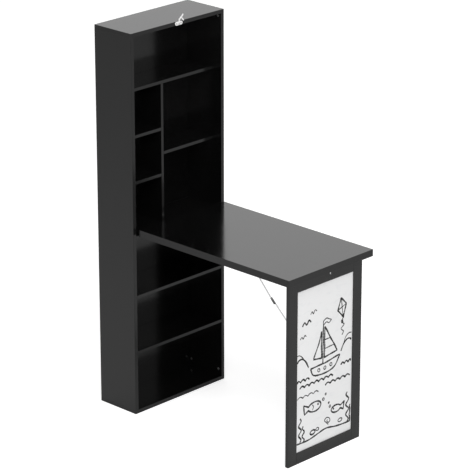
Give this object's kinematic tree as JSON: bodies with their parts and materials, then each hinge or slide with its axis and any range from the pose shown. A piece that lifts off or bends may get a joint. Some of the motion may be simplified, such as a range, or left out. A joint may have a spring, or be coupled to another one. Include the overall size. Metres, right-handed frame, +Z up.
{
  "type": "folding desk",
  "caption": "Tall narrow bookcase with a desk that folds down from its front on a framed whiteboard leg with folding stays, and a swing hook that keeps it shut.",
  "frame": {"origin": "on the floor under the middle of the cabinet", "axes": "+X to the right seen from the front, +Y from the front to the back, +Z up"},
  "size_m": [0.49, 0.977, 1.5466],
  "materials": {
    "black_laminate": "smooth black laminate on particle board",
    "black_hardboard": "black faced hardboard",
    "black_plastic": "satin",
    "zinc_steel": "zinc plated",
    "screw_steel": "zinc plated",
    "cam_zinc": "die cast",
    "beech": "raw",
    "white_plastic": "glossy white",
    "polished_steel": "polished",
    "whiteboard_white": "white writing surface on hardboard"
  },
  "bodies": {
    "cabinet": {"left_side_panel": "black_laminate", "right_side_panel": "black_laminate", "top_panel": "black_laminate", "bottom_panel": "black_laminate", "desk_level_board": "black_laminate", "bottom_section_low_shelf": "black_laminate", "bottom_section_middle_shelf": "black_laminate", "left_column_low_shelf": "black_laminate", "left_column_high_shelf": "black_laminate", "right_column_shelf": "black_laminate", "upper_shelf": "black_laminate", "column_divider": "black_laminate", "lower_back_panel": "black_hardboard", "upper_back_panel": "black_hardboard", "back_joining_strip": "black_plastic", "cam_locks": "cam_zinc", "cam_bolts": "screw_steel", "wood_dowels": "beech", "divider_dowels": "beech", "shelf_pins": "zinc_steel", "latch_base": "white_plastic", "latch_screws": "screw_steel", "latch_pivot": "screw_steel", "desk_hinge_cabinet_leaves": "zinc_steel", "desk_hinge_cabinet_screws": "screw_steel", "desk_hinge_pins": "zinc_steel"},
    "desk": {"desk_board": "black_laminate", "latch_knob": "polished_steel", "desk_hinge_desk_leaves": "zinc_steel", "desk_hinge_desk_screws": "screw_steel", "leg_hinge_desk_leaves": "zinc_steel", "leg_hinge_pins": "zinc_steel", "leg_hinge_desk_screws": "screw_steel", "stay_desk_brackets": "zinc_steel", "stay_desk_rivets": "zinc_steel", "stay_desk_screws": "screw_steel"},
    "leg": {"leg_left_stile": "black_laminate", "leg_right_stile": "black_laminate", "leg_top_rail": "black_laminate", "leg_bottom_rail": "black_laminate", "leg_frame_dowels": "beech", "whiteboard": "whiteboard_white", "leg_hinge_leg_leaves": "zinc_steel", "leg_hinge_leg_screws": "screw_steel", "stay_leg_brackets": "zinc_steel", "stay_leg_rivets": "zinc_steel", "stay_leg_screws": "screw_steel"},
    "stay_upper": {"stay_upper_links": "zinc_steel", "stay_lock_sleeves": "black_plastic"},
    "stay_lower": {"stay_lower_links": "zinc_steel"},
    "latch_hook": {"latch_hook": "white_plastic"}
  },
  "joints": [
    {"name": "desk_fold", "type": "hinge", "parent": "cabinet", "child": "desk", "pos_m": [0, -0.1022, 0.723], "axis": [-1, 0, 0], "range_deg": [0, 90]},
    {"name": "leg_fold", "type": "hinge", "parent": "desk", "child": "leg", "pos_m": [0, -0.834, 0.723], "axis": [1, 0, 0], "range_deg": [0, 90]},
    {"name": "stay_upper_fold", "type": "hinge", "parent": "desk", "child": "stay_upper", "pos_m": [0, -0.685, 0.723], "axis": [1, 0, 0], "range_deg": [0, 133.11]},
    {"name": "stay_lower_fold", "type": "hinge", "parent": "leg", "child": "stay_lower", "pos_m": [0, -0.834, 0.574], "axis": [1, 0, 0], "range_deg": [-133.11, 0]},
    {"name": "latch_turn", "type": "hinge", "parent": "cabinet", "child": "latch_hook", "pos_m": [0, -0.1005, 1.5125], "axis": [0, 1, 0], "range_deg": [0, 125]}
  ],
  "couplings": [
    {"joint": "stay_upper_fold", "follows": "leg_fold", "ratio": 1.4789},
    {"joint": "stay_lower_fold", "follows": "leg_fold", "ratio": -1.4789}
  ]
}
